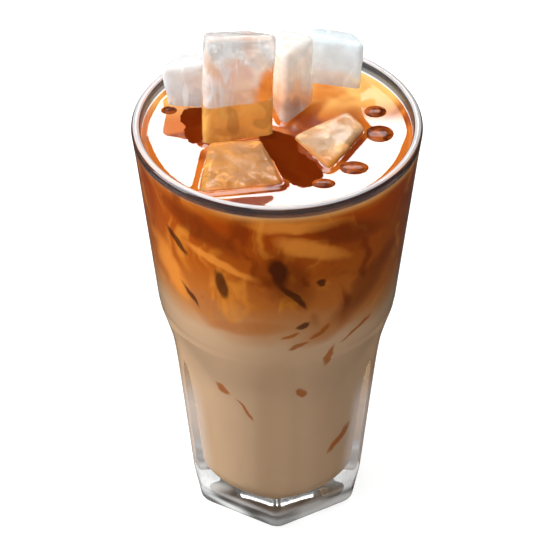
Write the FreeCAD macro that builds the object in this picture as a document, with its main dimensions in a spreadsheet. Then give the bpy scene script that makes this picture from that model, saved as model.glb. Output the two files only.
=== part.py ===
"""Iced coffee in a tumbler: a heavy glass with a six-sided lower half, a layer of milk under
a layer of coffee, and six ice cubes that stand out of the drink. Millimetres, +Z up, with the
origin in the middle of the face that the glass stands on and a corner of the foot towards -Y.
"""
import FreeCAD, Part
import math
import os

import Sketcher

TOP = FreeCAD.Vector(0, 0, 1)

# The driving dimensions, each an alias in the spreadsheet.
SIZES = {
    # the glass, outside
    "glass_height": 142.4,
    "rim_radius": 44.0,          # the widest circle, round the outside of the lip
    "lip_thickness": 2.8,
    "collar_drop": 9.5,          # the lip starts to flare this far below the rim
    "collar_inset": 1.0,         # and flares by this much
    "shoulder_height": 78.0,     # where the round wall turns in to the six-sided half
    "shoulder_radius": 37.2,
    "shoulder_fall": 27.0,       # height of the cone that cuts the tops of the six panels
    "shoulder_inset": 8.3,       # how far the cone goes in over that height
    "panel_top_corner": 36.8,    # from the axis to the corners of the six-sided half
    "heel_height": 15.0,
    "heel_corner": 30.3,
    "foot_corner": 27.7,
    "foot_bevel": 1.3,           # slanted edge round the face that it stands on
    "panel_edge_round": 4.5,     # rounding of the six upright edges
    "underside_radius": 17.0,    # shallow hollow under the foot
    "underside_depth": 1.2,
    # the glass, inside
    "shoulder_wall": 3.4,        # thickness of the wall at the shoulder
    "waist_rise": 3.0,           # the cavity narrows from this far above the shoulder
    "throat_fall": 21.0,         # and runs nearly straight from this far below it
    "throat_radius": 22.5,
    "well_radius": 18.3,         # at the cavity's floor
    "base_thickness": 8.6,
    "cavity_bend": 40.0,         # rounding of the cavity's two bends
    "cavity_corner": 5.0,        # rounding round its floor
    # the drink
    "fill_drop": 5.0,            # from the rim down to the drink's surface
    "milk_height": 84.0,         # mean height of the boundary between milk and coffee
    "milk_wave": 2.2,            # how far the boundary swings up and down
    "milk_wave_length": 34.0,
    # the ice
    "ice_edge_round": 1.6,
    "ice_wall_gap": 0.5,         # least gap between the pile of ice and the wall
    "pile_radius": 39.0,         # radius of the circle that the cubes below just fit in
    "pile_draft": 10.0,          # depth under the surface where the pile is widest
}

# Each cube is a wedge: the face towards -Y is width by height, and the opposite face, depth
# away, is smaller by an inset on each side, where the cube melted or broke unevenly.
ICE_VALUES = ("across", "back", "rise", "yaw", "pitch", "roll",
              "width", "depth", "height", "left_in", "right_in", "low_in", "top_in")
ICE_LENGTHS = ICE_VALUES[:3] + ICE_VALUES[6:]
ICE = {
    "ice_left": (-26.6, 20.5, 0.8, -4, -10, -8, 16, 13, 25.5, 9.0, 0.5, 1.0, 0.5),
    "ice_tall": (-11.2, 4.4, 12.0, 12, 5, -14, 23.5, 9, 39, 1.0, 8.0, 1.0, 0.5),
    "ice_leaning": (1.8, 14.2, 5.4, 56, 6, -3, 17, 12, 36, 10.0, 0.5, 1.0, 1.0),
    "ice_back": (18.6, 29.0, 1.6, -14, 1, -8, 19.5, 8.5, 28, 0.6, 6.0, 1.5, 0.5),
    "ice_front_left": (-12.4, -16.5, -7.9, 9, 0, 8, 27, 22, 20, 7.0, 4.0, 1.5, 0.3),
    "ice_front_right": (18.9, -4.8, -7.4, -57, 3, 6, 20.3, 20, 20, 0.3, 11.0, 1.0, 0.3),
}

doc = FreeCAD.newDocument("iced_coffee")


def fill_sheet():
    """Put every driving dimension in the spreadsheet, one alias to a row."""
    sheet = doc.addObject("Spreadsheet::Sheet", "Sizes")
    rows = dict(SIZES)
    for cube, values in ICE.items():
        for name, value in zip(ICE_VALUES, values):
            rows[f"{cube}_{name}"] = value
    for row, (alias, value) in enumerate(rows.items(), start=1):
        sheet.set(f"A{row}", alias)
        sheet.set(f"B{row}", str(value))
        sheet.setAlias(f"B{row}", alias)
    doc.recompute()


def work_out_fits():
    """Derived sizes that several pieces share, each bound to the spreadsheet."""
    fits = doc.addObject("App::VarSet", "Fits")
    wall_rise = "(Fits.mouth_radius - Fits.waist_radius) / (Fits.lip_height - Fits.waist_height)"
    derived = {
        "foot_face_corner": "Sizes.foot_corner - Sizes.foot_bevel",
        "mouth_radius": "Sizes.rim_radius - Sizes.lip_thickness",
        "collar_radius": "Sizes.rim_radius - Sizes.collar_inset",
        "lip_round": "Sizes.lip_thickness / 2",
        "lip_height": "Sizes.glass_height - Fits.lip_round",
        "collar_height": "Sizes.glass_height - Sizes.collar_drop",
        "cone_height": "Sizes.shoulder_height - Sizes.shoulder_fall",
        "cone_radius": "Sizes.shoulder_radius - Sizes.shoulder_inset",
        "waist_height": "Sizes.shoulder_height + Sizes.waist_rise",
        "waist_radius": "Sizes.shoulder_radius - Sizes.shoulder_wall",
        "throat_height": "Sizes.shoulder_height - Sizes.throat_fall",
        "wall_rise": wall_rise,
        "level": "Sizes.glass_height - Sizes.fill_drop",
        "level_radius": "Fits.mouth_radius - (Fits.lip_height - Fits.level) * Fits.wall_rise",
        "pile_scale": "(Fits.level_radius - Sizes.pile_draft * Fits.wall_rise"
                      " - Sizes.ice_wall_gap) / Sizes.pile_radius",
    }
    for name, formula in derived.items():
        fits.addProperty("App::PropertyFloat", name, "Fits")
        fits.setExpression(name, formula.replace("Fits.", ""))
        doc.recompute()


def value(name):
    """The number that a name such as Sizes.rim_radius stands for, or 0 for the axis."""
    if name == "0":
        return 0.0
    holder, alias = name.split(".")
    return float(getattr(doc.getObject(holder), alias))


def new_body(label):
    body = doc.addObject("PartDesign::Body", label)
    body.Label = label
    return body


def new_sketch(body, name, plane, height="0"):
    """A sketch on one of the body's own origin planes, raised to a named height."""
    sketch = body.newObject("Sketcher::SketchObject", name)
    origin_plane = [f for f in body.Origin.OriginFeatures if f.Role == plane][0]
    sketch.AttachmentSupport = [(origin_plane, "")]
    sketch.MapMode = "FlatFace"
    if height != "0":
        sketch.setExpression(".AttachmentOffset.Base.z", height)
    doc.recompute()
    return sketch


def pin(sketch, geometry, point, along, name):
    """Hold one coordinate of a sketch point at a named size, or on an axis for 0."""
    if name == "0":
        axis = -2 if along == "X" else -1
        sketch.addConstraint(Sketcher.Constraint("PointOnObject", geometry, point, axis))
        return
    kind = "Distance" + along
    index = sketch.addConstraint(
        Sketcher.Constraint(kind, -1, 1, geometry, point, value(name)))
    sketch.setExpression(f"Constraints[{index}]", name)


def outline(sketch, corners, arc_after=None):
    """A closed outline through named (x, y) corners. The side after corner arc_after is a
    half circle whose middle is level with its two ends."""
    points = [FreeCAD.Vector(value(x), value(y), 0) for x, y in corners]
    for i, start in enumerate(points):
        end = points[(i + 1) % len(points)]
        if i == arc_after:
            middle = (start + end) * 0.5
            ring = Part.Circle(middle, TOP, (start - end).Length / 2)
            sketch.addGeometry(Part.ArcOfCircle(ring, 0, math.pi))
        else:
            sketch.addGeometry(Part.LineSegment(start, end))
    for i, (x, y) in enumerate(corners):
        before = (i - 1) % len(corners)
        # a half circle drawn anticlockwise starts at the outer end and finishes at the inner
        sketch.addConstraint(Sketcher.Constraint("Coincident", before, 2, i, 1))
        pin(sketch, i, 1, "X", x)
        pin(sketch, i, 1, "Y", y)
    if arc_after is not None:
        pin(sketch, arc_after, 3, "Y", corners[arc_after][1])
    doc.recompute()


def turned(body, kind, name, sketch):
    """Turn a sketch a full circle round the glass's axis, adding or removing."""
    feature = body.newObject(kind, name)
    feature.Profile = sketch
    feature.ReferenceAxis = (sketch, ["V_Axis"])
    feature.Angle = 360
    doc.recompute()
    return feature


def rounded(body, name, base, edges, radius):
    """A fillet on the edges of the base feature that a test picks out."""
    fillet = body.newObject("PartDesign::Fillet", name)
    picked = [f"Edge{i}" for i, edge in enumerate(base.Shape.Edges, start=1) if edges(edge)]
    if not picked:
        raise RuntimeError(f"{name}: no edge to round")
    fillet.Base = (base, picked)
    fillet.setExpression("Radius", radius)
    doc.recompute()
    return fillet


def ring_at(radius, height):
    """A test for the circular edge of a named radius at a named height."""
    def test(edge):
        curve = edge.Curve
        if not isinstance(curve, Part.Circle):
            return False
        wide = abs(curve.Radius - value(radius)) < 0.01
        return wide and abs(curve.Center.z - value(height)) < 0.01
    return test


def hexagon(body, name, height, corner_radius):
    """A hexagon with rounded corners, one towards -Y, at a named height. The corner radius is
    measured from the axis to the tip of a rounded corner."""
    sketch = new_sketch(body, name, "XY_Plane", height)
    bend = value("Sizes.panel_edge_round")
    core = value(corner_radius) - bend
    arcs = []
    for k in range(6):
        turn = math.radians(60 * k - 90)
        middle = FreeCAD.Vector(core * math.cos(turn), core * math.sin(turn), 0)
        corner = Part.Circle(middle, TOP, bend)
        half = math.radians(30)
        arcs.append(sketch.addGeometry(Part.ArcOfCircle(corner, turn - half, turn + half)))
    sides = []
    for k in range(6):
        start = sketch.getPoint(arcs[k], 2)
        end = sketch.getPoint(arcs[(k + 1) % 6], 1)
        sides.append(sketch.addGeometry(Part.LineSegment(start, end)))
    circle = sketch.addGeometry(Part.Circle(FreeCAD.Vector(0, 0, 0), TOP, core), True)
    sketch.addConstraint(Sketcher.Constraint("Coincident", circle, 3, -1, 1))
    for k in range(6):
        sketch.addConstraint(Sketcher.Constraint("Tangent", arcs[k], 2, sides[k], 1))
        sketch.addConstraint(Sketcher.Constraint("Tangent", sides[k], 2, arcs[(k + 1) % 6], 1))
        sketch.addConstraint(Sketcher.Constraint("PointOnObject", arcs[k], 3, circle))
        if k:
            sketch.addConstraint(Sketcher.Constraint("Equal", arcs[0], arcs[k]))
            sketch.addConstraint(Sketcher.Constraint("Equal", sides[0], sides[k]))
    sketch.addConstraint(Sketcher.Constraint("PointOnObject", arcs[0], 3, -2))
    index = sketch.addConstraint(Sketcher.Constraint("Radius", arcs[0], bend))
    sketch.setExpression(f"Constraints[{index}]", "Sizes.panel_edge_round")
    index = sketch.addConstraint(Sketcher.Constraint("Radius", circle, core))
    sketch.setExpression(f"Constraints[{index}]", f"{corner_radius} - Sizes.panel_edge_round")
    doc.recompute()
    return sketch


def cavity_corners(top_radius, top_height):
    """Corners of the half section of the glass's inside, up to a named height."""
    return [
        ("0", "Sizes.base_thickness"),
        ("Sizes.well_radius", "Sizes.base_thickness"),
        ("Sizes.throat_radius", "Fits.throat_height"),
        ("Fits.waist_radius", "Fits.waist_height"),
        (top_radius, top_height),
        ("0", top_height),
    ]


def cavity_bends(body, base):
    """Round the corner at the cavity's floor and its two gentle bends."""
    bends = {
        "CavityCorner": ("Sizes.well_radius", "Sizes.base_thickness", "Sizes.cavity_corner"),
        "CavityThroat": ("Sizes.throat_radius", "Fits.throat_height", "Sizes.cavity_bend"),
        "CavityWaist": ("Fits.waist_radius", "Fits.waist_height", "Sizes.cavity_bend"),
    }
    for name, (radius, height, bend) in bends.items():
        base = rounded(body, body.Label + name, base, ring_at(radius, height), bend)
    return base


def make_glass():
    """Pressed glass in one piece: a six-sided foot and lower half under a round wall."""
    body = new_body("glass")

    face = hexagon(body, "FootFace", "0", "Fits.foot_face_corner")
    foot = hexagon(body, "FootHexagon", "Sizes.foot_bevel", "Sizes.foot_corner")
    heel = hexagon(body, "HeelHexagon", "Sizes.heel_height", "Sizes.heel_corner")
    top = hexagon(body, "PanelTopHexagon", "Sizes.shoulder_height", "Sizes.panel_top_corner")
    panels = body.newObject("PartDesign::AdditiveLoft", "SixPanels")
    panels.Profile = face
    panels.Sections = [foot, heel, top]
    panels.Ruled = True
    doc.recompute()

    wall = new_sketch(body, "RoundWallSection", "XZ_Plane")
    outline(wall, [
        ("0", "Fits.cone_height"),
        ("Fits.cone_radius", "Fits.cone_height"),
        ("Sizes.shoulder_radius", "Sizes.shoulder_height"),
        ("Fits.collar_radius", "Fits.collar_height"),
        ("Sizes.rim_radius", "Fits.lip_height"),
        ("Fits.mouth_radius", "Fits.lip_height"),
        ("0", "Fits.lip_height"),
    ], arc_after=4)
    turned(body, "PartDesign::Revolution", "RoundWall", wall)

    inside = new_sketch(body, "CavitySection", "XZ_Plane")
    outline(inside, cavity_corners("Fits.mouth_radius", "Fits.lip_height"))
    cavity = turned(body, "PartDesign::Groove", "Cavity", inside)
    cavity_bends(body, cavity)

    hollow = new_sketch(body, "UndersideSection", "XZ_Plane")
    outline(hollow, [
        ("0", "0"),
        ("Sizes.underside_radius", "0"),
        ("0", "Sizes.underside_depth"),
    ])
    turned(body, "PartDesign::Groove", "Underside", hollow)
    return body


def make_fill():
    """All that the drink can fill: the glass's inside, up to the drink's surface."""
    body = new_body("fill")
    section = new_sketch(body, "FillSection", "XZ_Plane")
    outline(section, cavity_corners("Fits.level_radius", "Fits.level"))
    cavity_bends(body, turned(body, "PartDesign::Revolution", "Fill", section))
    return body


def make_milk_space():
    """A block whose wavy top is the boundary that the milk and the coffee share."""
    half = value("Sizes.rim_radius")
    mean = value("Sizes.milk_height")
    swing = value("Sizes.milk_wave")
    wave = 2 * math.pi / value("Sizes.milk_wave_length")
    steps = 12
    grid = []
    for i in range(steps + 1):
        x = -half + 2 * half * i / steps
        row = []
        for j in range(steps + 1):
            y = -half + 2 * half * j / steps
            lift = 0.6 * math.sin(wave * (x + 0.4 * y)) + 0.4 * math.cos(wave * (0.7 * y - 0.5 * x))
            row.append(FreeCAD.Vector(x, y, mean + swing * lift))
        grid.append(row)
    surface = Part.BSplineSurface()
    surface.interpolate(grid)
    block = doc.addObject("Part::Feature", "milk_space")
    block.Shape = surface.toShape().extrude(TOP * -(mean + swing))
    return block


def make_ice(label):
    """One cube: a wedge with its edges melted round, placed and turned as it lies."""
    body = new_body(label)
    wedge = body.newObject("PartDesign::AdditiveWedge", label + "Block")

    def size(name):
        scaled = " * Fits.pile_scale" if name in ICE_LENGTHS else ""
        return f"Sizes.{label}_{name}{scaled}"

    sides = {
        "Xmin": f"-{size('width')} / 2",
        "Xmax": f"{size('width')} / 2",
        "X2min": f"-{size('width')} / 2 + {size('left_in')}",
        "X2max": f"{size('width')} / 2 - {size('right_in')}",
        "Ymin": f"-{size('depth')} / 2",
        "Ymax": f"{size('depth')} / 2",
        "Zmin": f"-{size('height')} / 2",
        "Zmax": f"{size('height')} / 2",
        "Z2min": f"-{size('height')} / 2 + {size('low_in')}",
        "Z2max": f"{size('height')} / 2 - {size('top_in')}",
    }
    for side, formula in sides.items():
        wedge.setExpression(side, formula)
    doc.recompute()
    rounded(body, label + "Edges", wedge, lambda edge: True, "Sizes.ice_edge_round")
    place = f"create(<<vector>>; {size('across')}; {size('back')}; Fits.level + {size('rise')})"
    turn = f"create(<<rotation>>; {size('yaw')}; {size('pitch')}; {size('roll')})"
    body.setExpression("Placement", f"create(<<placement>>; {place}; {turn})")
    doc.recompute()
    return body


def combined(kind, label, base, tool):
    result = doc.addObject(kind, label)
    result.Label = label
    result.Base = base
    result.Tool = tool
    doc.recompute()
    return result


def check_document():
    for item in doc.Objects:
        if "Invalid" in item.State or "Error" in item.State:
            raise RuntimeError(f"{item.Label} failed: {item.State}")


def write_parts(nodes):
    os.makedirs("parts", exist_ok=True)
    for node in nodes:
        shape = node.Shape
        if shape.isNull() or not shape.isValid() or len(shape.Solids) != 1:
            raise RuntimeError(f"{node.Label} is not one valid solid")
        shape.exportStep(f"parts/{node.Label}.step")
        print(f"{node.Label:16s} {shape.Volume / 1000:8.2f} cm3")


fill_sheet()
work_out_fits()
glass = make_glass()
fill = make_fill()
milk_space = make_milk_space()
cubes = [make_ice(label) for label in ICE]
milk = combined("Part::Common", "milk", fill, milk_space)
drink_left = combined("Part::Cut", "drink_over_milk", fill, milk_space)
pile = doc.addObject("Part::Compound", "ice_pile")
pile.Links = cubes
coffee = combined("Part::Cut", "coffee", drink_left, pile)
check_document()
write_parts([glass, milk, coffee] + cubes)
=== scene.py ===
"""Iced coffee in a tumbler: the looks of the glass, the layered drink and the ice."""
import math

import bmesh
import bpy
from mathutils import Matrix, Vector, noise
from mathutils.bvhtree import BVHTree


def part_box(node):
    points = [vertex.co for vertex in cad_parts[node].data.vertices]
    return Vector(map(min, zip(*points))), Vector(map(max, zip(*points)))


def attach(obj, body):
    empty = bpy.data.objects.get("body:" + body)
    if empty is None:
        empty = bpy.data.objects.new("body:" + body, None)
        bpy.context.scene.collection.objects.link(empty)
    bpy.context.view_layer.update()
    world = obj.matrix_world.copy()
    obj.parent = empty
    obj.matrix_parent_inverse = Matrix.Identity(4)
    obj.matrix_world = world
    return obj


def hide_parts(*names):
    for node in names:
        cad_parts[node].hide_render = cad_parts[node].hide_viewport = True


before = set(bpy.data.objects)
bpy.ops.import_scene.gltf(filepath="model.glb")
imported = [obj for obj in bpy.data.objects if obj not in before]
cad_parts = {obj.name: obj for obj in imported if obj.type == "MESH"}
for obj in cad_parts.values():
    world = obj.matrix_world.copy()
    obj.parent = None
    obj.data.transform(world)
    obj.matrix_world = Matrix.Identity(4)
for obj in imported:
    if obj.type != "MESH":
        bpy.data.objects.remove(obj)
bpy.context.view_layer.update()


# ---- The glass: a heavy tumbler of clear pressed glass in one piece. Its lower half has six
# ---- flat panels that a round shoulder cuts off at the top, and its lip is fire polished.

MM = 0.001

glass_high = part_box("glass")[1]
GLASS_HEIGHT = glass_high.z
RIM_RADIUS = glass_high.x
LIP_THICKNESS = 2.8 * MM
MOUTH_RADIUS = RIM_RADIUS - LIP_THICKNESS
LIP_ROUND = (RIM_RADIUS - MOUTH_RADIUS) / 2
LIP_HEIGHT = GLASS_HEIGHT - LIP_ROUND
SHOULDER_HEIGHT = 78 * MM
HALF_PANEL = math.radians(30)         # half the angle that one of the six panels covers
PANEL_BEND = 4.5 * MM                 # rounding of the six upright edges
HOLLOW_RADIUS = 17 * MM               # shallow hollow under the foot
HOLLOW_DEPTH = 1.2 * MM
SOFT_CORNER = 0.9 * MM                # the mould's softening where panels meet the shoulder
BASE_THICKNESS = 8.6 * MM
WELL_CORNER = 5 * MM
GLASS_TURNS = 288

# (height, radius) of the six corners, of the round wall and of the inside, in mm
CORNERS = ((0, 26.4), (1.3, 27.7), (15, 30.3), (78, 36.8))
ROUND_WALL = ((51, 28.9), (78, 37.2), (132.9, 43.0), (141.0, 44.0))
INSIDE = ((8.6, 18.3), (57, 22.5), (81, 33.8), (141.0, 41.2))
CORNER_SLOPE = 0.103                  # how fast the corners lean out, mm per mm

# half length of the soft bends between their stretches, in mm
CORNER_BEND = 0.8
WALL_BEND = 1.2
INSIDE_BEND = 7


def along(line, height):
    """The radius of a jointed line at a height, both in metres."""
    z = height / MM
    for (z0, r0), (z1, r1) in zip(line, line[1:]):
        if z <= z1 or (z1, r1) == line[-1]:
            return (r0 + (r1 - r0) * (z - z0) / (z1 - z0)) * MM


def softly(line, height, reach):
    """The same with its joints rounded, by averaging the line over a reach."""
    steps = 9
    total = 0
    for i in range(steps):
        total += along(line, height + reach * MM * (i / (steps - 1) - 0.5) * 2)
    return total / steps


def inside_radius(height):
    """The glass's inner wall, with its floor's rounded corner."""
    radius = softly(INSIDE, height, INSIDE_BEND)
    rise = height - BASE_THICKNESS
    if rise < WELL_CORNER:
        lift = max(WELL_CORNER - rise, 0)
        radius -= WELL_CORNER - math.sqrt(max(WELL_CORNER ** 2 - lift ** 2, 0))
    return radius


def panel_radius(height, bearing):
    """The six-sided half at a height, with rounded corners, one of them towards -Y."""
    core = softly(CORNERS, height, CORNER_BEND) - PANEL_BEND
    turn = (math.degrees(bearing) + 90) % 60
    turn = math.radians(min(turn, 60 - turn))
    edge_of_bend = math.atan2(PANEL_BEND / 2, core + PANEL_BEND * math.cos(HALF_PANEL))
    if turn < edge_of_bend:
        return core * math.cos(turn) + math.sqrt(PANEL_BEND ** 2 - (core * math.sin(turn)) ** 2)
    flat = core * math.cos(HALF_PANEL) + PANEL_BEND
    return flat / math.cos(HALF_PANEL - turn)


def outside_radius(height, bearing):
    """The glass's outside: the larger of the panels and the round wall, softly joined."""
    wall = softly(ROUND_WALL, height, WALL_BEND)
    if height > SHOULDER_HEIGHT:
        return wall
    panel = panel_radius(height, bearing)
    gap = (panel - wall) / SOFT_CORNER
    return wall + SOFT_CORNER * math.log1p(math.exp(min(gap, 60))) if gap < 60 else panel


def evenly(start, end, step):
    count = max(1, round(abs(end - start) / step))
    return [start + (end - start) * i / count for i in range(count + 1)]


def spun(section, turns):
    """A closed piece turned from a half section of (radius, height) points about the axis."""
    mesh = bmesh.new()
    points = [mesh.verts.new((r, 0, z)) for r, z in section]
    edges = [mesh.edges.new(pair) for pair in zip(points, points[1:])]
    bmesh.ops.spin(mesh, geom=points + edges, cent=(0, 0, 0), axis=(0, 0, 1),
                   angle=2 * math.pi, steps=turns, use_merge=True)
    bmesh.ops.remove_doubles(mesh, verts=mesh.verts, dist=1e-6)
    bmesh.ops.recalc_face_normals(mesh, faces=mesh.faces)
    return mesh


def piece_of(mesh, name, materials, sharp_from=180):
    """A smooth-shaded object at the origin from a bmesh, with edges that turn by more than
    sharp_from degrees kept sharp."""
    data = bpy.data.meshes.new(name)
    mesh.to_mesh(data)
    mesh.free()
    data.shade_smooth()
    data.set_sharp_from_angle(angle=math.radians(sharp_from))
    for material in materials:
        data.materials.append(material)
    piece = bpy.data.objects.new(name, data)
    bpy.context.scene.collection.objects.link(piece)
    return piece


def glass_section():
    """Half of the glass cut through its axis, from under the foot over the lip to the floor."""
    section = [(0, HOLLOW_DEPTH)]
    for r in evenly(3 * MM, HOLLOW_RADIUS - 1 * MM, 2 * MM):
        section.append((r, HOLLOW_DEPTH * (1 - (r / HOLLOW_RADIUS) ** 2)))
    section.append((HOLLOW_RADIUS, 0))
    for r in evenly(HOLLOW_RADIUS, along(CORNERS, 0), 1.5 * MM)[1:]:
        section.append((r, 0))
    for z in evenly(0, SHOULDER_HEIGHT, 0.8 * MM)[1:]:
        section.append((along(CORNERS, z), z))
    for z in evenly(SHOULDER_HEIGHT, LIP_HEIGHT, 1.6 * MM)[1:]:
        section.append((softly(ROUND_WALL, z, WALL_BEND), z))
    middle = (RIM_RADIUS + MOUTH_RADIUS) / 2
    arc = 14
    for i in range(1, arc + 1):
        turn = math.pi * i / arc
        section.append((middle + LIP_ROUND * math.cos(turn),
                        LIP_HEIGHT + LIP_ROUND * math.sin(turn)))
    for z in evenly(LIP_HEIGHT, BASE_THICKNESS, 1.2 * MM)[1:-1]:
        section.append((inside_radius(z), z))
    floor = inside_radius(BASE_THICKNESS)
    for r in evenly(floor, 0, 2 * MM):
        section.append((r, BASE_THICKNESS))
    return section


def shape_outside(mesh):
    """Move the spun outside in or out to the panels, and the foot's face with it."""
    foot = along(CORNERS, 0)
    for v in mesh.verts:
        r = math.hypot(v.co.x, v.co.y)
        z = v.co.z
        inside = z > 1 * MM and r < inside_radius(max(z, BASE_THICKNESS)) + 2 * MM
        if inside or z > SHOULDER_HEIGHT or r <= HOLLOW_RADIUS:
            continue
        bearing = math.atan2(v.co.y, v.co.x)
        edge = outside_radius(z, bearing)
        if z < 1e-6 and r <= foot:
            share = (r - HOLLOW_RADIUS) / (foot - HOLLOW_RADIUS)
            edge = HOLLOW_RADIUS + (edge - HOLLOW_RADIUS) * share
        v.co.x, v.co.y = edge * math.cos(bearing), edge * math.sin(bearing)


class Wire:
    """A socket in a material. Maths on it adds Math nodes, and node adds any other node."""

    def __init__(self, tree, socket):
        self.tree = tree
        self.socket = socket

    def node(self, kind, settings, inputs, output=0):
        made = self.tree.nodes.new(kind)
        for name, setting in settings.items():
            if name == "stops":
                stops = made.color_ramp.elements
                while len(stops) < len(setting):
                    stops.new(1)
                for stop, (place, colour) in zip(stops, setting):
                    stop.position = place
                    stop.color = colour
            else:
                setattr(made, name, setting)
        for name, given in inputs.items():
            if isinstance(given, Wire):
                self.tree.links.new(given.socket, made.inputs[name])
            else:
                made.inputs[name].default_value = given
        return Wire(self.tree, made.outputs[output])

    def maths(self, operation, first, second):
        return self.node("ShaderNodeMath", {"operation": operation}, {0: first, 1: second})

    def __add__(self, other):
        return self.maths("ADD", self, other)

    def __sub__(self, other):
        return self.maths("SUBTRACT", self, other)

    def __mul__(self, other):
        return self.maths("MULTIPLY", self, other)

    def __truediv__(self, other):
        return self.maths("DIVIDE", self, other)

    __radd__ = __add__
    __rmul__ = __mul__

    def __rsub__(self, other):
        return self.maths("SUBTRACT", other, self)

    def between(self, low, high):
        """0 below low, 1 above high, smooth between."""
        return self.node("ShaderNodeMapRange", {"interpolation_type": "SMOOTHSTEP"},
                         {"Value": self, "From Min": low, "From Max": high})

    def moved(self, operation, by):
        """Vector maths on this socket."""
        return self.node("ShaderNodeVectorMath", {"operation": operation}, {0: self, 1: by})

    def part(self, axis):
        return self.node("ShaderNodeSeparateXYZ", {}, {0: self}, axis)

    def mixed(self, first, second):
        """One colour over another, with this socket as the share of the second."""
        return self.node("ShaderNodeMix", {"data_type": "RGBA"}, {0: self, 6: first, 7: second}, 2)

    def cloud(self, scale, detail, distortion=0.0, output="Fac"):
        """Noise on this socket as a place, scale in features per mm."""
        return self.node("ShaderNodeTexNoise", {}, {"Vector": self, "Scale": scale,
                         "Detail": detail, "Distortion": distortion}, output)

    def stirred(self, scale, detail, distortion, reach):
        """This place pushed about by noise, by up to half the reach along each axis."""
        push = self.cloud(scale, detail, distortion, "Color").moved("SUBTRACT", (0.5, 0.5, 0.5))
        return self.moved("ADD", push.moved("MULTIPLY", reach))


def new_material(name):
    """An empty material, and its Object coordinates in mm."""
    material = bpy.data.materials.new(name)
    material.use_nodes = True
    material.node_tree.nodes.clear()
    here = Wire(material.node_tree, None).node("ShaderNodeTexCoord", {}, {}, "Object")
    return material, here.moved("MULTIPLY", (1000, 1000, 1000))


def finish_material(surface):
    output = surface.tree.nodes.new("ShaderNodeOutputMaterial")
    surface.tree.links.new(surface.socket, output.inputs["Surface"])


def tint(red, green, blue):
    """A colour given as 0 to 255 in the usual screen scale."""
    linear = []
    for part in (red, green, blue):
        part /= 255
        linear.append(part / 12.92 if part <= 0.04045 else ((part + 0.055) / 1.055) ** 2.4)
    return (*linear, 1)


def lets_light_in(place, clear, shade):
    """A clear shader that lets lamps light what is inside it, as thin clear matter does."""
    ray = place.node("ShaderNodeLightPath", {}, {}, "Is Shadow Ray")
    open_way = place.node("ShaderNodeBsdfTransparent", {}, {"Color": shade})
    return place.node("ShaderNodeMixShader", {}, {0: ray, 1: clear, 2: open_way})


glass_material, place = new_material("pressed_glass")
ripple = place.cloud(0.05, 1.0)
uneven = place.node("ShaderNodeBump", {}, {"Strength": 0.12, "Distance": 0.001, "Height": ripple})
grazing = place.node("ShaderNodeLayerWeight", {}, {"Blend": 0.5}, "Facing")
from_axis = place.node(
    "ShaderNodeVectorMath", {"operation": "LENGTH"}, {0: place.moved("MULTIPLY", (1, 1, 0))}, 1)
height = place.part(2)

# painted shade: the lip gets a dark ring at its outer and its inner edge, and the clear glass greys
# where it turns away from the eye, both painted to stand in for the dark outlines of glass edges
lip = height.between(138.6, 139.4)
outer_ring = from_axis.between(43.35, 43.6)
inner_ring = 1 - from_axis.between(41.55, 41.8)
painted_dark_rings = lip * (outer_ring + inner_ring)
painted_edge_grey = grazing.between(0.45, 0.90) * 0.4 + painted_dark_rings * 0.85
clear = place.node("ShaderNodeBsdfPrincipled", {}, {
    "Base Color": painted_edge_grey.mixed(tint(250, 252, 251), tint(40, 40, 44)), "Roughness": 0.0,
    "IOR": 1.5, "Transmission Weight": 1.0, "Normal": uneven})

# painted light and shade on the thick base: grey in soft bands that stand in for what the glass
# mirrors, darkest in the middle and darker on the right, away from the key light
flow = place.node("ShaderNodeMapping", {}, {"Vector": place, "Scale": (0.045, 0.045, 0.20)})
band = flow.cloud(1.0, 1.0, 0.3).between(0.36, 0.62)
in_foot = 1 - height.between(6.0, 9.5)
painted_shade_right = place.part(0).between(-6, 4)
off_middle = place.part(0) * place.part(0)
painted_pale_band = painted_shade_right.mixed(tint(232, 232, 232), tint(176, 173, 170))
middle = 1 - off_middle.between(9, 80)
painted_foot_shade = (middle * 0.6).mixed(band.mixed(tint(64, 59, 56), painted_pale_band), tint(52, 47, 43))

# a painted silvery sheen over the base, a painted white highlight along the lip and a painted sheen
# on the upright corners at both sides, laid over the clear glass
sheen_grey = in_foot.mixed(lip.mixed(tint(206, 200, 198), tint(246, 248, 250)), painted_foot_shade)
painted_sheen = place.node("ShaderNodeBsdfPrincipled", {}, {
    "Base Color": painted_dark_rings.mixed(sheen_grey, tint(42, 42, 46)), "Roughness": 0.12})
out_to_corners = (from_axis - height * CORNER_SLOPE).between(26.0, 27.6)
corners = out_to_corners * (1 - height.between(44, 62)) * off_middle.between(60, 180)
veil = in_foot * 0.80 + corners * (1 - in_foot) * 0.40 + lip * 0.50
body = place.node("ShaderNodeMixShader", {}, {0: veil, 1: clear, 2: painted_sheen})
finish_material(lets_light_in(place, body, tint(245, 247, 246)))

glass_mesh = spun(glass_section(), GLASS_TURNS)
shape_outside(glass_mesh)
bmesh.ops.recalc_face_normals(glass_mesh, faces=glass_mesh.faces)
tumbler = piece_of(glass_mesh, "glass_tumbler", [glass_material])
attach(tumbler, "root")
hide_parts("glass")


# ---- The ice: wet cubes from a tray, half melted, slightly cloudy at the core. The four at the
# ---- back stand up out of the drink, and the two at the front float nearly flat.

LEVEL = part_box("coffee")[1].z
ICE_GRAIN = 0.7 * MM


def cad_copy(node):
    """A merged copy of a CAD node's mesh."""
    mesh = bmesh.new()
    mesh.from_mesh(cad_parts[node].data)
    bmesh.ops.remove_doubles(mesh, verts=mesh.verts, dist=1e-6)
    return mesh


def applied(piece):
    """The piece's mesh with its modifiers applied, which are then taken off the piece."""
    graph = bpy.context.evaluated_depsgraph_get()
    mesh = bpy.data.meshes.new_from_object(piece.evaluated_get(graph))
    piece.modifiers.clear()
    return mesh


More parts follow.
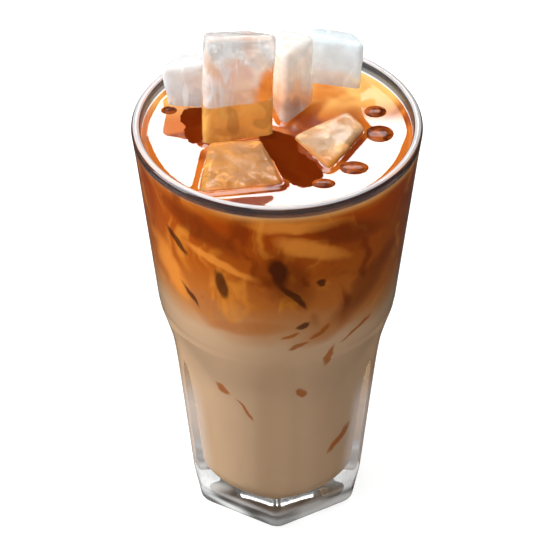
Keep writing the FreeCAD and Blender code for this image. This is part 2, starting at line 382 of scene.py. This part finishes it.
def melted(piece, seed):
    """Even the mesh out and let the faces sag and ripple a little, as melting ice does."""
    even = piece.modifiers.new("even", "REMESH")
    even.mode = "VOXEL"
    even.voxel_size = ICE_GRAIN
    relax = piece.modifiers.new("relax", "SMOOTH")
    relax.iterations = 4
    data = applied(piece)
    piece.data = data
    data.shade_smooth()
    offset = Vector((seed * 7.3, seed * 3.1, seed * 5.7))
    normals = [v.normal.copy() for v in data.vertices]
    for v, normal in zip(data.vertices, normals):
        at = v.co / MM
        dent = noise.noise(at * 0.10 + offset) * 0.55 + noise.noise(at * 0.28 + offset) * 0.16
        v.co += normal * dent * MM
    data.update()


def ice_look(name, cloudiness, low_band, band_colour, amber_glow_share, white):
    """Wet ice: a white veil over clear ice. Up to low_band mm over the drink the drink's colour is
    painted on, standing in for the drink seen through the ice, and above that a painted amber glow
    in patches, where the drink's light shines through it."""
    material, place = new_material(name)
    above = place.part(2) - LEVEL / MM
    skin = place.cloud(0.22, 3.0)
    uneven = place.node("ShaderNodeBump", {}, {"Strength": 0.3, "Distance": 0.001, "Height": skin})
    grey = place.cloud(0.12, 3.0, 0.4).between(0.35, 0.65) * 0.25
    frost = grey.mixed(tint(*white), tint(222, 214, 208))
    # a painted amber glow in patches, where the drink's light shines through the ice
    painted_glow = (place.cloud(0.055, 2.0, 0.5).between(0.38, 0.60)
            * (1 - above.between(low_band + 6, low_band + 22)) * amber_glow_share)
    lit = painted_glow.mixed(frost, tint(240, 166, 84))
    # below low_band the drink's colour is painted on, standing in for the drink seen through the
    # ice
    deep = place.cloud(0.09, 1.0).between(0.5, 0.56)
    painted_drink_band = deep.mixed(tint(*band_colour), tint(*(part * 0.86 for part in band_colour)))
    banded = 1 - above.between(low_band - 0.4, low_band + 0.4)
    coloured = banded.mixed(lit, painted_drink_band)
    cloudy = place.node("ShaderNodeBsdfPrincipled", {}, {
        "Base Color": coloured, "Roughness": 0.14, "IOR": 1.31, "Normal": uneven,
        "Subsurface Weight": 0.5, "Subsurface Radius": (1.0, 1.0, 1.0),
        "Subsurface Scale": 0.003})
    clear = place.node("ShaderNodeBsdfPrincipled", {}, {
        "Base Color": coloured, "Roughness": 0.06, "IOR": 1.31, "Transmission Weight": 1.0,
        "Normal": uneven})
    cracks = place.node("ShaderNodeMapping", {}, {
        "Vector": place, "Rotation": (0.3, 0.7, 0.2), "Scale": (0.20, 0.20, 0.05)})
    white_cracks = cracks.cloud(1.0, 2.0, 0.9).between(0.54, 0.70) * 0.35
    milky = place.cloud(0.10, 4.0, 0.6).between(0.3, 0.7)
    veil = milky * 0.25 + white_cracks + cloudiness + banded * 0.25
    body = place.node("ShaderNodeMixShader", {}, {0: veil, 1: clear, 2: cloudy})
    finish_material(lets_light_in(place, body, tint(235, 235, 236)))
    return material


AMBER = (255, 190, 100)

# (name, cloudiness, height of the band of painted drink colour in mm, its colour, share of the
# painted amber glow, frost, which on the two front cubes is painted with the drink seen through
# them)
ICE = {
    "ice_left": ice_look("ice_left_side", 0.56, 0.0, AMBER, 0.2, (240, 248, 252)),
    "ice_tall": ice_look("ice_tall_block", 0.34, 11.5, AMBER, 1.0, (246, 252, 254)),
    "ice_leaning": ice_look("ice_leaning_block", 0.48, 0.0, AMBER, 0.5, (252, 250, 244)),
    "ice_back": ice_look("ice_back_block", 0.62, 0.0, (250, 232, 205), 0.0, (236, 249, 255)),
    "ice_front_left": ice_look("ice_front_left_block", 0.45, 0.6, (190, 112, 50), 1.0,
                               (206, 148, 92)),
    "ice_front_right": ice_look("ice_front_right_block", 0.48, 1.4, (214, 136, 60), 0.5,
                                (236, 190, 140)),
}

for seed, (node, look) in enumerate(ICE.items(), start=1):
    block = piece_of(cad_copy(node), "block_" + node, [look])
    melted(block, seed)
    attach(block, "root")
    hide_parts(node)


# ---- The drink: cold milk under coffee, which sinks into it in streaks. Both reach just into the
# ---- glass, so that the wall shows no gap. The coffee is cut round the ice.

INTO_WALL = 0.2 * MM
INTO_ICE = 0.5 * MM
MILK_HEIGHT = 84 * MM
MENISCUS_RISE = 1.0 * MM
MENISCUS_REACH = 1.1 * MM
ICE_MENISCUS = 0.8 * MM
ICE_MENISCUS_REACH = 0.9 * MM
SHARP_EDGE = 50                       # degrees
DRINK_TURNS = 240


def drink_wall(height):
    return inside_radius(height) + INTO_WALL


def layer_wave(x, y):
    """How far the boundary of milk and coffee swings up or down at a place."""
    return 2.2 * MM * noise.noise(Vector((x, y, 0)) / (22 * MM))


def swing_boundary(mesh, height):
    """Raise and lower the flat cap at the boundary's height, and the wall near it by less and
    less, while the wall keeps to the inside of the glass."""
    fade = 6 * MM
    for v in mesh.verts:
        away = abs(v.co.z - height)
        radius = math.hypot(v.co.x, v.co.y)
        on_wall = abs(radius - drink_wall(v.co.z)) < 0.01 * MM
        if away < 0.01 * MM or on_wall and away < fade:
            before = drink_wall(v.co.z)
            v.co.z += layer_wave(v.co.x, v.co.y) * (1 - away / fade)
            grown = drink_wall(v.co.z) / before
            v.co.x, v.co.y = v.co.x * grown, v.co.y * grown


def surface_height(x, y):
    """The drink's surface: nearly flat, with the last of its ripples."""
    at = Vector((x, y, 0)) / MM
    return LEVEL + (noise.noise(at * 0.06) * 0.022 + noise.noise(at * 0.15) * 0.006) * MM


def coffee_section():
    section = [(0, MILK_HEIGHT)]
    section += [(r, MILK_HEIGHT) for r in evenly(2 * MM, drink_wall(MILK_HEIGHT), 2 * MM)]
    top = LEVEL + MENISCUS_RISE
    section += [(drink_wall(z), z) for z in evenly(MILK_HEIGHT, top, 1 * MM)[1:]]
    edge = inside_radius(top)
    for r in evenly(edge, 0, 0.6 * MM):
        climb = math.exp(-(edge - r) / MENISCUS_REACH)
        section.append((r, LEVEL + MENISCUS_RISE * climb))
    return section


def milk_section():
    section = [(0, BASE_THICKNESS - INTO_WALL)]
    floor = inside_radius(BASE_THICKNESS)
    section += [(r, BASE_THICKNESS - INTO_WALL) for r in evenly(2 * MM, floor, 2 * MM)]
    section += [(drink_wall(z), z) for z in evenly(BASE_THICKNESS, MILK_HEIGHT, 1 * MM)[1:]]
    section += [(r, MILK_HEIGHT) for r in evenly(drink_wall(MILK_HEIGHT), 0, 2 * MM)[1:]]
    return section


def oval(across, up, long, wide, lean, squarish=False):
    """How far a place is from the middle of an ellipse that leans over by some degrees from up:
    0 there and 1 on its edge. A squarish one is fuller towards its corners."""
    turn = math.radians(lean)
    lengthways = (across * math.sin(turn) + up * math.cos(turn)) / (long / 2)
    sideways = (across * math.cos(turn) - up * math.sin(turn)) / (wide / 2)
    lengthways = lengthways * lengthways
    sideways = sideways * sideways
    if squarish:
        lengthways = lengthways * lengthways
        sideways = sideways * sideways
    return lengthways + sideways


def wisp(place, x, z, long, wide, lean, soft):
    """A long spot on the drink's front, at x and height z in mm, that leans over to the right
    by some degrees from upright, with an edge softer the larger soft is."""
    far = oval(place.part(0) - x, place.part(2) - z, long, wide, lean)
    front = 1 - place.part(1).between(-6, 0)
    return (1 - far.between(1 - soft, 1 + soft)) * front


def painted_panel_shading(place):
    """Painted light and shade in soft upright bands, standing in for the glass's panels bending the
    light on the milk: darker behind the front corner and on the right, lighter on the left."""
    across = place.part(0)
    corner = 1 - (across * across).between(0, 40)
    left = 1 - ((across + 19) * (across + 19)).between(0, 14)
    right = 1 - ((across - 14) * (across - 14)).between(0, 30)
    return corner * 0.5 - left * 0.5 + right * 0.3


# the marks on the drink's front: (across, height, length, width, lean from upright in degrees),
# in mm
SPOTS = ((0.5, 115.8, 12, 5.4, -14), (4.8, 105.0, 13, 2.6, -32), (-15.8, 107.4, 10, 3.6, -12),
         (13.3, 109.5, 3.2, 3.0, 0), (-24.4, 98.0, 9, 1.4, -34), (-28.8, 118.4, 8, 2.2, -32),
         (7.4, 92.5, 4, 2.0, 60))
FLECKS = ((-14.6, 56.4, 5.5, 2.6, -35), (-8.2, 48.6, 9.5, 1.2, -34), (6.3, 59.2, 4.6, 2.8, -20),
          (17.0, 29.0, 10.5, 2.8, 32), (6.2, 83.4, 6.5, 1.6, 68), (15.2, 76.6, 9, 1.8, 24),
          (23.0, 84.0, 9, 1.4, 50), (4.0, 88.0, 6, 1.8, 62), (12.5, 88.5, 7, 1.6, 50))
PALE_STREAKS = ((-16.5, 116.2, 20, 3.4, -68), (10.0, 124.0, 22, 6, -60), (6.0, 134.0, 26, 5, -86),
                (-30.0, 104.0, 20, 6, -24))
DARK_BANDS = ((25.5, 102.0, 26, 8, 34), (-22.0, 128.0, 24, 9, -60), (20.0, 128.0, 22, 9, -65),
              (3.0, 112.0, 24, 12, -20))
SINKING = ((-23.0, 96.0, 24, 8, -58), (-8.0, 91.0, 22, 5, 82), (19.0, 91.0, 24, 7, 58))

# each group's softness of edge, strength and colour, in the order they are laid over each other
MARKS = ((SINKING, 0.95, 0.55, (172, 100, 46)), (PALE_STREAKS, 0.85, 0.75, (230, 144, 56)),
         (DARK_BANDS, 0.85, 0.6, (100, 38, 2)), (SPOTS, 0.6, 0.85, (62, 22, 4)),
         (FLECKS, 0.55, 0.85, (150, 80, 24)))


def drink_colour(place):
    """Milk below, coffee above, the streaks between them and flecks of coffee in the milk."""
    stirred = place.stirred(0.03, 3.0, 0.3, (30, 30, 22))
    fall = (stirred.part(2) - 60) / 84
    layers = place.node("ShaderNodeValToRGB", {"stops": [
        (0.00, tint(182, 150, 120)), (0.29, tint(192, 158, 126)), (0.38, tint(182, 130, 84)),
        (0.47, tint(178, 102, 40)), (0.60, tint(168, 84, 18)), (0.85, tint(158, 64, 3)),
        (0.95, tint(192, 108, 30))]}, {0: fall})
    slanted = stirred.node("ShaderNodeMapping", {}, {
        "Vector": stirred, "Rotation": (0, 0.6, 0), "Scale": (0.085, 0.085, 0.030)})
    streaks = slanted.cloud(1.0, 3.0, 0.8)
    in_coffee = place.part(2).between(84, 98)
    pale = streaks.between(0.52, 0.70) * 0.65 * in_coffee
    dark = (1 - streaks).between(0.54, 0.72) * 0.7 * in_coffee
    coloured = pale.mixed(layers, tint(222, 140, 48))
    coloured = dark.mixed(coloured, tint(118, 44, 2))

    # the painted light and shade of the panels' bands below, and a pale line just under the
    # surface, weak on the left
    low = 1 - place.part(2).between(66, 84)
    coloured = (painted_panel_shading(place) * low * 0.35).mixed(coloured, tint(150, 112, 80))
    edge = place.part(2).between(135, 138.5) * (place.part(0).between(-24, -6) * 0.72 + 0.05)
    coloured = edge.mixed(coloured, tint(236, 176, 100))

    drifted = place.stirred(0.12, 2.0, 0.0, (4.5, 4.5, 4.5))
    for marks, soft, strength, colour in MARKS:
        for x, z, long, wide, lean in marks:
            share = wisp(drifted, x, z, long, wide, lean, soft) * strength
            coloured = share.mixed(coloured, tint(*colour))
    return coloured


body_material, place = new_material("drink_body")
drink = place.node("ShaderNodeBsdfPrincipled", {}, {
    "Base Color": drink_colour(place), "Roughness": 0.6, "Specular IOR Level": 0.0})
finish_material(drink)

# painted shade: dark patches between the cubes, seen from above, where the cubes hide the mirrored
# light; there the colour is darkened and the coat taken off: (across, back, length, width, lean)
PAINTED_SHADE_PATCHES = ((3.2, -12.0, 29, 10.5, -24), (-24.6, 4.6, 19, 8, -6))

surface_material, place = new_material("drink_surface")
pool = place.cloud(0.05, 2.0, 0.6)
# painted light: the surface's colour is lighter towards the back, in darker and lighter patches
deep = pool.between(0.42, 0.56).mixed(tint(132, 50, 8), tint(198, 104, 28))
light = pool.between(0.40, 0.60).mixed(tint(204, 120, 44), tint(244, 188, 106))
amber = place.part(1).between(6, 22).mixed(deep, light)
drifted = place.stirred(0.10, 3.0, 0.0, (7, 7, 0))
shade = 0
for x, y, long, wide, lean in PAINTED_SHADE_PATCHES:
    far = oval(drifted.part(0) - x, drifted.part(1) - y, long, wide, lean, squarish=True)
    shade = shade + (1 - far.between(0.90, 1.10))
# the painted shade darkens the surface's colour in the patches
amber = (shade * (0.70 + pool * 0.5)).mixed(amber, tint(96, 30, 4))
# painted shadow of the mirrored light: behind the cubes on the right the coat is mostly taken off
painted_gloss_shadow = place.part(1).between(5, 12) * place.part(0).between(-4, 8)
drink = place.node("ShaderNodeBsdfPrincipled", {}, {
    "Base Color": amber, "Roughness": 0.3, "Specular IOR Level": 0.0,
    "Coat Weight": (1 - shade) * (1 - painted_gloss_shadow * 0.8), "Coat IOR": 1.7,
    "Coat Roughness": 0.01,
    "Subsurface Weight": 0.4, "Subsurface Radius": (1.0, 0.5, 0.25), "Subsurface Scale": 0.002})
finish_material(drink)


def ice_cutter():
    """All the cubes, a little smaller, as one tool to cut the coffee with."""
    mesh = bmesh.new()
    for node in ICE:
        cube = cad_copy(node)
        cube.normal_update()
        for v in cube.verts:
            v.co -= v.normal * INTO_ICE
        data = bpy.data.meshes.new("cutter")
        cube.to_mesh(data)
        cube.free()
        mesh.from_mesh(data)
        bpy.data.meshes.remove(data)
    return piece_of(mesh, "cutter", [])


def ripple_surface(mesh):
    """Give the drink's surface the last of its ripples, and a meniscus up the side of each cube."""
    shores = [BVHTree.FromBMesh(cad_copy(node)) for node in ICE]
    calm_from = inside_radius(LEVEL) - 1 * MM
    for v in mesh.verts:
        if v.co.z > LEVEL - 0.01 * MM and math.hypot(v.co.x, v.co.y) < calm_from:
            to_ice = min(shore.find_nearest(v.co)[3] for shore in shores)
            v.co.z += surface_height(v.co.x, v.co.y) - LEVEL
            v.co.z += ICE_MENISCUS * math.exp(-to_ice / ICE_MENISCUS_REACH)


def cut_round_ice(piece):
    cutter = ice_cutter()
    cut = piece.modifiers.new("cut", "BOOLEAN")
    cut.operation = "DIFFERENCE"
    cut.object = cutter
    mesh = applied(piece)
    mesh.attributes.remove(mesh.attributes["custom_normal"])      # left by the cutter
    mesh.set_sharp_from_angle(angle=math.radians(SHARP_EDGE))
    piece.data = mesh
    bpy.data.objects.remove(cutter)


coffee_mesh = spun(coffee_section(), DRINK_TURNS)
swing_boundary(coffee_mesh, MILK_HEIGHT)
ripple_surface(coffee_mesh)
coffee = piece_of(coffee_mesh, "coffee_layer", [body_material, surface_material], SHARP_EDGE)
for face in coffee.data.polygons:
    if face.normal.z > 0.3 and face.center.z > LEVEL - 1 * MM:
        face.material_index = 1
cut_round_ice(coffee)
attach(coffee, "root")
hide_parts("coffee")

milk_mesh = spun(milk_section(), DRINK_TURNS)
swing_boundary(milk_mesh, MILK_HEIGHT)
milk = piece_of(milk_mesh, "milk_layer", [body_material], SHARP_EDGE)
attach(milk, "root")
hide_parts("milk")


# ---- The bubbles: coffee froths a little where it is poured over ice, and leaves a few flat
# ---- domes of thin liquid on the surface.

# (across, back, width, depth) in mm
BUBBLES = ((-33.0, 12.6, 5.0, 4.0), (30.0, 12.0, 6.8, 6.0), (31.0, 0.5, 8.6, 8.4),
           (22.9, -16.8, 8.8, 6.4), (13.8, -24.6, 7.0, 4.6), (-28.5, 15.6, 2.6, 2.2))
DOME_HEIGHT = 0.7 * MM

bubble_material, place = new_material("bubble_film")
swirl = place.cloud(0.3, 2.0, 0.5).between(0.35, 0.65)
film = place.node("ShaderNodeBsdfPrincipled", {}, {
    "Base Color": swirl.mixed(tint(84, 28, 4), tint(168, 80, 24)), "Roughness": 0.12,
    "IOR": 1.33, "Specular IOR Level": 0.25})
finish_material(film)

domes = bmesh.new()
for x, y, width, depth in BUBBLES:
    place_of = Matrix.Translation((x * MM, y * MM, LEVEL))
    made = bmesh.ops.create_icosphere(domes, subdivisions=4, radius=1, matrix=place_of)
    bmesh.ops.scale(domes, verts=made["verts"], space=place_of.inverted(),
                    vec=(width / 2 * MM, depth / 2 * MM, DOME_HEIGHT))
bubbles = piece_of(domes, "bubbles", [bubble_material])
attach(bubbles, "root")


# ---- The studio: a wide pale floor under a plain sky, a large soft light on the left, weaker ones
# ---- in front and above, and one high behind the glass, which the drink's surface mirrors.

def in_gloss(place):
    """1 for what a glossy surface mirrors, where the studio is dark, and 0 for all other rays."""
    bounced = place.node("ShaderNodeLightPath", {}, {}, "Is Reflection Ray")
    return place.node("ShaderNodeLightPath", {}, {}, "Is Glossy Ray") * bounced


floor_mesh = bmesh.new()
bmesh.ops.create_grid(floor_mesh, x_segments=1, y_segments=1, size=4)
floor_material, place = new_material("pale_floor")
pale = place.node("ShaderNodeBsdfPrincipled", {}, {
    "Base Color": tint(205, 205, 205), "Roughness": 0.8, "Specular IOR Level": 0.0,
    "Emission Color": tint(255, 255, 255), "Emission Strength": 0.55})
dim = place.node("ShaderNodeBsdfPrincipled", {}, {
    "Base Color": tint(60, 58, 56), "Roughness": 0.8, "Specular IOR Level": 0.0})
finish_material(place.node("ShaderNodeMixShader", {}, {0: in_gloss(place), 1: pale, 2: dim}))
floor = piece_of(floor_mesh, "studio_floor", [floor_material])


def soft_light(name, place, target, width, height, power, colour=(1, 1, 1)):
    lamp = bpy.data.lights.new(name, "AREA")
    lamp.shape = "RECTANGLE"
    lamp.size = width
    lamp.size_y = height
    lamp.energy = power
    lamp.color = colour
    light = bpy.data.objects.new(name, lamp)
    aim = (Vector(target) - Vector(place)).to_track_quat("-Z", "Y")
    light.matrix_world = Matrix.Translation(place) @ aim.to_matrix().to_4x4()
    bpy.context.scene.collection.objects.link(light)


CAMERA_DISTANCE = 0.941
CAMERA_TILT = math.radians(38.67)
LOOK_AT = Vector((0, 0, 82.3 * MM))
lens = bpy.data.cameras.new("camera")
lens.lens = 194.9
lens.sensor_width = 36
lens.clip_end = 20
camera = bpy.data.objects.new("camera", lens)
back_off = Vector((0, -math.cos(CAMERA_TILT), math.sin(CAMERA_TILT)))
camera.location = LOOK_AT + CAMERA_DISTANCE * back_off
camera.rotation_euler = (math.pi / 2 - CAMERA_TILT, 0, 0)
bpy.context.scene.collection.objects.link(camera)
bpy.context.scene.camera = camera
bpy.context.scene.view_settings.view_transform = "Standard"

MIRROR_DISTANCE = 0.9
MIRROR_HEIGHT = 0.22
LOWEST_MIRRORED = 0.017               # its lower edge is this far under the mirrored line of sight
middle = Vector((0, 0, LEVEL))
ahead = (middle - camera.location).normalized().reflect(Vector((0, 0, 1)))
upward = Vector((0, -ahead.z, ahead.y))
raised = (MIRROR_HEIGHT / 2 - LOWEST_MIRRORED) * upward
soft_light("key_light", (-0.80, -0.10, 0.45), (0, 0, 0.08), 0.5, 0.6, 6.8, (0.94, 0.98, 1.0))
soft_light("fill_light", (-0.1, -0.7, 1.0), (0, 0, 0.12), 0.4, 0.4, 2.0)
soft_light("top_light", (-0.2, 0.3, 1.1), (0, 0, 0.08), 0.6, 0.6, 5)
soft_light("mirror_light", middle + MIRROR_DISTANCE * ahead + raised, middle,
           0.34, MIRROR_HEIGHT, 2.5)
world = bpy.data.worlds.new("studio")
world.use_nodes = True
strength = 0.40 - in_gloss(Wire(world.node_tree, None)) * 0.34
background = world.node_tree.nodes["Background"]
world.node_tree.links.new(strength.socket, background.inputs["Strength"])
background.inputs["Color"].default_value = (1, 1, 1, 1)
bpy.context.scene.world = world
